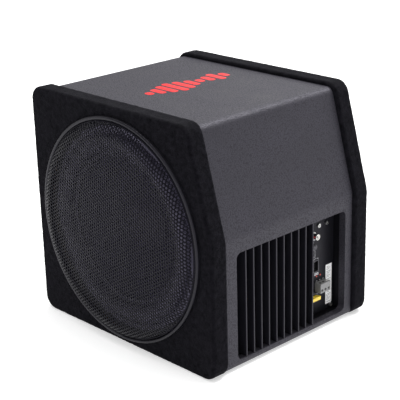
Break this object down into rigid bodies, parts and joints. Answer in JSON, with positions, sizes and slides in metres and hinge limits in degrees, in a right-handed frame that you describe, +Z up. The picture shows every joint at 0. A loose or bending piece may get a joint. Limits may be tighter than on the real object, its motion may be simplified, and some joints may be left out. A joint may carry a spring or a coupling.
{
  "type": "powered car subwoofer",
  "caption": "Powered car subwoofer: carpeted end panels, vinyl-covered box with one slanted side, round domed grille over the driver, and an amplifier set into the side.",
  "frame": {"origin": "on the floor, below the middle of the overall box", "axes": "+Z up, +Y towards the back, away from the grille, +X to the right seen from the front, towards the amplifier"},
  "size_m": [0.36, 0.327, 0.34],
  "materials": {
    "carpet": "matte",
    "vinyl": "satin",
    "board": "matte",
    "black_steel": "satin",
    "mesh_paint": "satin",
    "rim_plastic": "satin",
    "rubber": "matte",
    "cone_paper": "matte",
    "coil_former": "satin",
    "copper_winding": "satin",
    "spider_cloth": "matte",
    "plated_steel": "satin",
    "ferrite": "matte",
    "black_aluminium": "satin",
    "circuit_laminate": "gloss",
    "component_black": "matte",
    "toroid_tape": "satin",
    "white_plastic": "gloss",
    "red_plastic": "gloss",
    "black_plastic": "satin",
    "nickel": "gloss",
    "fuse_yellow": "gloss",
    "lamp_lens": "gloss",
    "label_white": "matte",
    "decal_red": "satin",
    "grey_plastic": "satin",
    "wadding_fibre": "matte",
    "lead_sheath": "satin"
  },
  "bodies": {
    "enclosure": {"amp_screws": "plated_steel", "basket": "black_steel", "battens": "board", "bay_back_inner": "board", "bay_back_outer": "board", "bay_ends": "board", "bay_step": "board", "bay_top": "board", "bottom_board": "board", "capacitors": "component_black", "chassis": "black_steel", "circuit_board": "circuit_laminate", "connector_panel": "black_steel", "driver_screws": "black_steel", "emblem": "decal_red", "front_baffle": "board", "front_carpet": "carpet", "front_gasket": "rubber", "fuse_holder": "black_plastic", "grille_mesh": "mesh_paint", "grille_rim": "rim_plastic", "heatsink": "black_aluminium", "high_level_socket": "black_plastic", "left_board": "board", "magnet": "ferrite", "mounting_gasket": "rubber", "phase_switch": "black_plastic", "potentiometers": "component_black", "power_terminal": "grey_plastic", "rca_left": "white_plastic", "rca_right": "red_plastic", "rca_sleeves": "nickel", "rear_carpet": "carpet", "rear_panel": "board", "remote_port": "black_plastic", "side_board": "board", "slant_board": "board", "speaker_lead": "lead_sheath", "spec_label": "label_white", "spider": "spider_cloth", "status_leds": "lamp_lens", "surround": "rubber", "terminal_screws": "nickel", "terminal_tabs": "component_black", "top_board": "board", "top_plate": "plated_steel", "toroid": "toroid_tape", "transistors": "component_black", "vinyl_wrap": "vinyl", "wadding": "wadding_fibre", "yoke": "plated_steel"},
    "cone_assembly": {"cone": "cone_paper", "dust_cap": "cone_paper", "voice_coil_former": "coil_former", "voice_coil": "copper_winding"},
    "gain_knob": {"gain_knob": "black_plastic"},
    "crossover_knob": {"crossover_knob": "black_plastic"},
    "boost_knob": {"boost_knob": "black_plastic"},
    "phase_slider": {"phase_slider": "black_plastic"},
    "fuse": {"fuse": "fuse_yellow"}
  },
  "joints": [
    {"name": "cone_travel", "type": "slide", "parent": "enclosure", "child": "cone_assembly", "axis": [0, -1, 0], "range_m": [-0.012, 0.012], "stiffness_N_per_m": 4200, "deforming": ["surround", "spider"]},
    {"name": "gain_turn", "type": "hinge", "parent": "enclosure", "child": "gain_knob", "pos_m": [0.152, 0.0745, 0.12], "axis": [1, 0, 0], "range_deg": [-140, 140]},
    {"name": "crossover_turn", "type": "hinge", "parent": "enclosure", "child": "crossover_knob", "pos_m": [0.152, 0.062, 0.12], "axis": [1, 0, 0], "range_deg": [-140, 140]},
    {"name": "boost_turn", "type": "hinge", "parent": "enclosure", "child": "boost_knob", "pos_m": [0.152, 0.062, 0.104], "axis": [1, 0, 0], "range_deg": [-140, 140]},
    {"name": "phase_slide", "type": "slide", "parent": "enclosure", "child": "phase_slider", "axis": [0, 0, 1], "range_m": [0, 0.004]},
    {"name": "fuse_pull", "type": "slide", "parent": "enclosure", "child": "fuse", "axis": [1, 0, 0], "range_m": [0, 0.012]}
  ]
}
